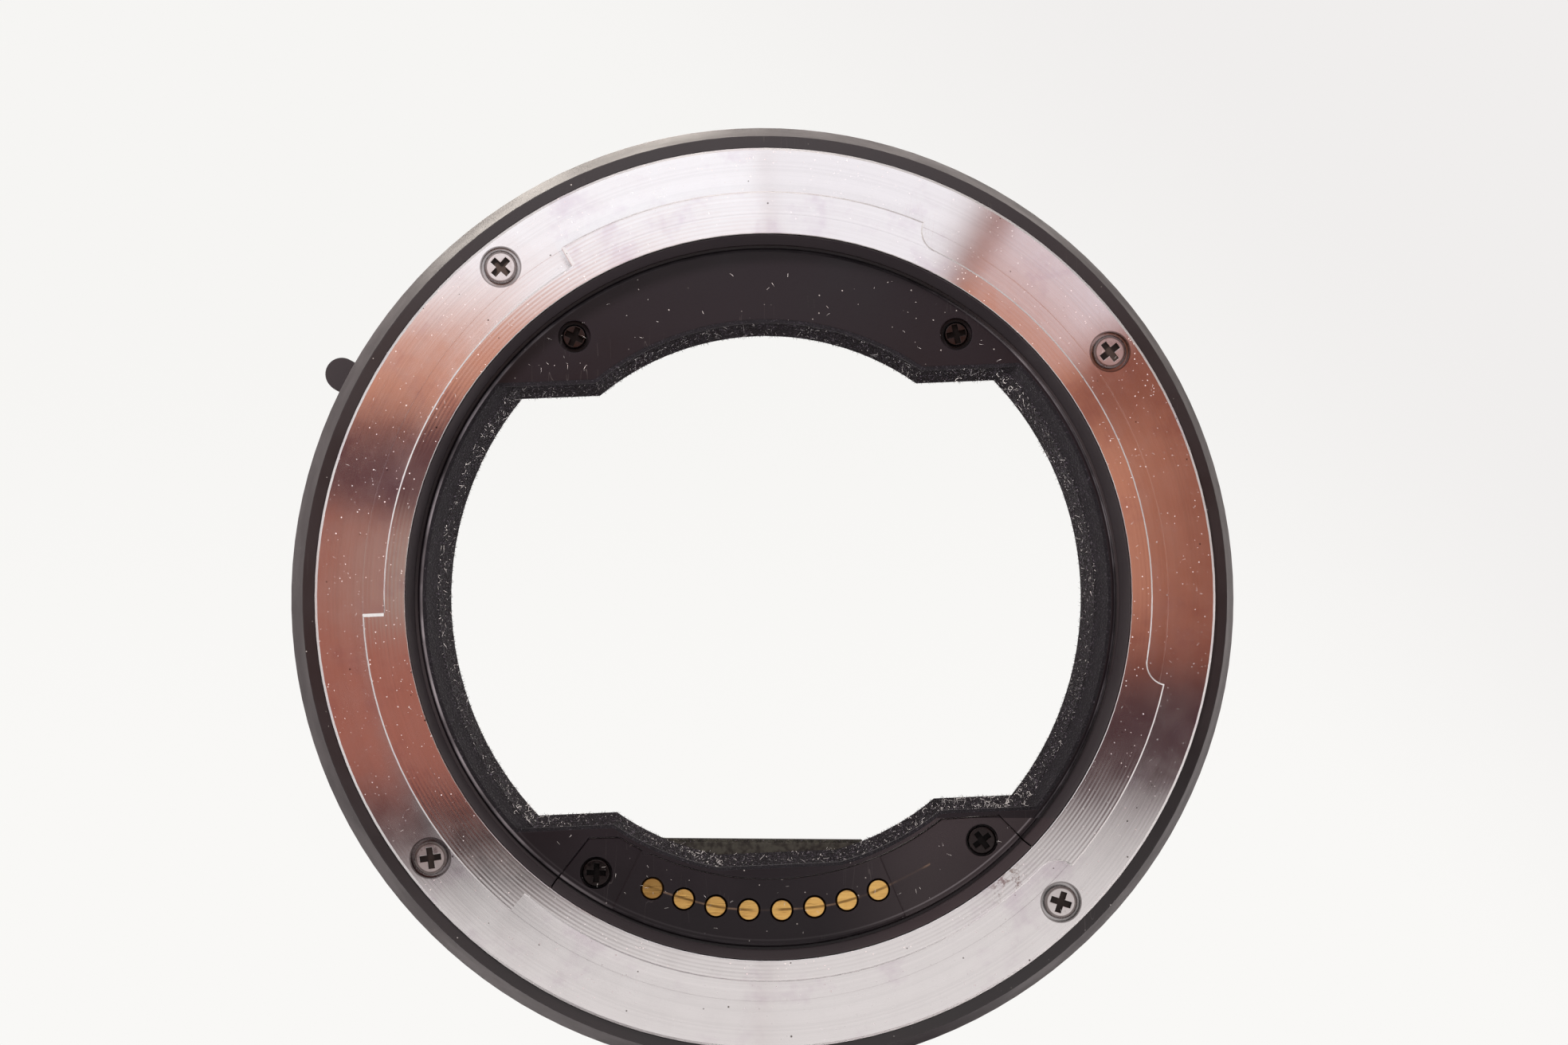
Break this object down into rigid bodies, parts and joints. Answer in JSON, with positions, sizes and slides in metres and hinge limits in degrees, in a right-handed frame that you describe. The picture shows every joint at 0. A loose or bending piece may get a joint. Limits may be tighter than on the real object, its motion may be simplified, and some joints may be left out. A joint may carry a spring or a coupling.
{
  "type": "macro extension tube",
  "caption": "Medium-format camera macro extension tube: male bayonet with contacts behind, female bayonet and sprung pins in front, open 4.5 x 6 picture passage, lens release.",
  "frame": {"origin": "on the optical axis, in the plane of the front (lens side) flange face that the tube stands on", "axes": "+Z along the optical axis from the lens side to the camera side, +Y to the top of the picture opening, +X to the right seen from behind"},
  "size_m": [0.0848, 0.0848, 0.0318],
  "materials": {
    "bayonet_metal": "fine concentric turning, satin chrome plate",
    "black_anodised": "fine matt black anodising",
    "bright_screw": "bright nickel plate, cross recess",
    "black_plastic": "satin moulded black",
    "flock": "short black flock fibres",
    "contact_gold": "gold plate with wipe marks",
    "black_screw": "black oxide",
    "spring_steel": "bright drawn wire and strip",
    "amber_film": "amber film over copper tracks",
    "red_paint": "filled red paint"
  },
  "bodies": {
    "tube": {"barrel": "black_anodised", "rear_mount": "bayonet_metal", "rear_mount_screw_1": "bright_screw", "rear_mount_screw_2": "bright_screw", "rear_mount_screw_3": "bright_screw", "rear_mount_screw_4": "bright_screw", "rear_liner": "black_plastic", "rear_liner_flocking": "flock", "liner_screw_1": "black_screw", "liner_screw_2": "black_screw", "rear_contact_block": "black_plastic", "contact_block_screw_1": "black_screw", "contact_block_screw_2": "black_screw", "rear_contact_1": "contact_gold", "rear_contact_2": "contact_gold", "rear_contact_3": "contact_gold", "rear_contact_4": "contact_gold", "rear_contact_5": "contact_gold", "rear_contact_6": "contact_gold", "rear_contact_7": "contact_gold", "rear_contact_8": "contact_gold", "flex_circuit": "amber_film", "inner_frame": "black_plastic", "inner_frame_screws": "black_screw", "front_mount": "bayonet_metal", "front_mount_screws": "bright_screw", "leaf_spring_1": "spring_steel", "leaf_spring_2": "spring_steel", "leaf_spring_3": "spring_steel", "leaf_spring_rivets": "spring_steel", "front_contact_block": "black_plastic", "front_block_flocking": "flock", "front_block_screw_1": "black_screw", "front_block_screw_2": "black_screw", "contact_pin_spring_1": "spring_steel", "contact_pin_spring_2": "spring_steel", "contact_pin_spring_3": "spring_steel", "contact_pin_spring_4": "spring_steel", "contact_pin_spring_5": "spring_steel", "contact_pin_spring_6": "spring_steel", "contact_pin_spring_7": "spring_steel", "contact_pin_spring_8": "spring_steel", "release_spring_1": "spring_steel", "release_spring_2": "spring_steel", "guide_posts": "spring_steel", "lens_stop_pin": "spring_steel", "index_dots": "red_paint"},
    "release": {"release_lever": "black_plastic", "release_slider": "black_anodised", "lever_screw": "black_screw"},
    "pin_1": {"contact_pin_1": "contact_gold"},
    "pin_2": {"contact_pin_2": "contact_gold"},
    "pin_3": {"contact_pin_3": "contact_gold"},
    "pin_4": {"contact_pin_4": "contact_gold"},
    "pin_5": {"contact_pin_5": "contact_gold"},
    "pin_6": {"contact_pin_6": "contact_gold"},
    "pin_7": {"contact_pin_7": "contact_gold"},
    "pin_8": {"contact_pin_8": "contact_gold"}
  },
  "joints": [
    {"name": "release_slide", "type": "slide", "parent": "tube", "child": "release", "axis": [0, 0, 1], "range_m": [0, 0.0025], "stiffness_N_per_m": 900, "springref_m": -0.0012, "deforming": ["release_spring_1", "release_spring_2"]},
    {"name": "pin_1_press", "type": "slide", "parent": "tube", "child": "pin_1", "axis": [0, 0, 1], "range_m": [0, 0.001], "stiffness_N_per_m": 400, "springref_m": -0.0005, "deforming": ["contact_pin_spring_1"]},
    {"name": "pin_2_press", "type": "slide", "parent": "tube", "child": "pin_2", "axis": [0, 0, 1], "range_m": [0, 0.001], "stiffness_N_per_m": 400, "springref_m": -0.0005, "deforming": ["contact_pin_spring_2"]},
    {"name": "pin_3_press", "type": "slide", "parent": "tube", "child": "pin_3", "axis": [0, 0, 1], "range_m": [0, 0.001], "stiffness_N_per_m": 400, "springref_m": -0.0005, "deforming": ["contact_pin_spring_3"]},
    {"name": "pin_4_press", "type": "slide", "parent": "tube", "child": "pin_4", "axis": [0, 0, 1], "range_m": [0, 0.001], "stiffness_N_per_m": 400, "springref_m": -0.0005, "deforming": ["contact_pin_spring_4"]},
    {"name": "pin_5_press", "type": "slide", "parent": "tube", "child": "pin_5", "axis": [0, 0, 1], "range_m": [0, 0.001], "stiffness_N_per_m": 400, "springref_m": -0.0005, "deforming": ["contact_pin_spring_5"]},
    {"name": "pin_6_press", "type": "slide", "parent": "tube", "child": "pin_6", "axis": [0, 0, 1], "range_m": [0, 0.001], "stiffness_N_per_m": 400, "springref_m": -0.0005, "deforming": ["contact_pin_spring_6"]},
    {"name": "pin_7_press", "type": "slide", "parent": "tube", "child": "pin_7", "axis": [0, 0, 1], "range_m": [0, 0.001], "stiffness_N_per_m": 400, "springref_m": -0.0005, "deforming": ["contact_pin_spring_7"]},
    {"name": "pin_8_press", "type": "slide", "parent": "tube", "child": "pin_8", "axis": [0, 0, 1], "range_m": [0, 0.001], "stiffness_N_per_m": 400, "springref_m": -0.0005, "deforming": ["contact_pin_spring_8"]}
  ]
}
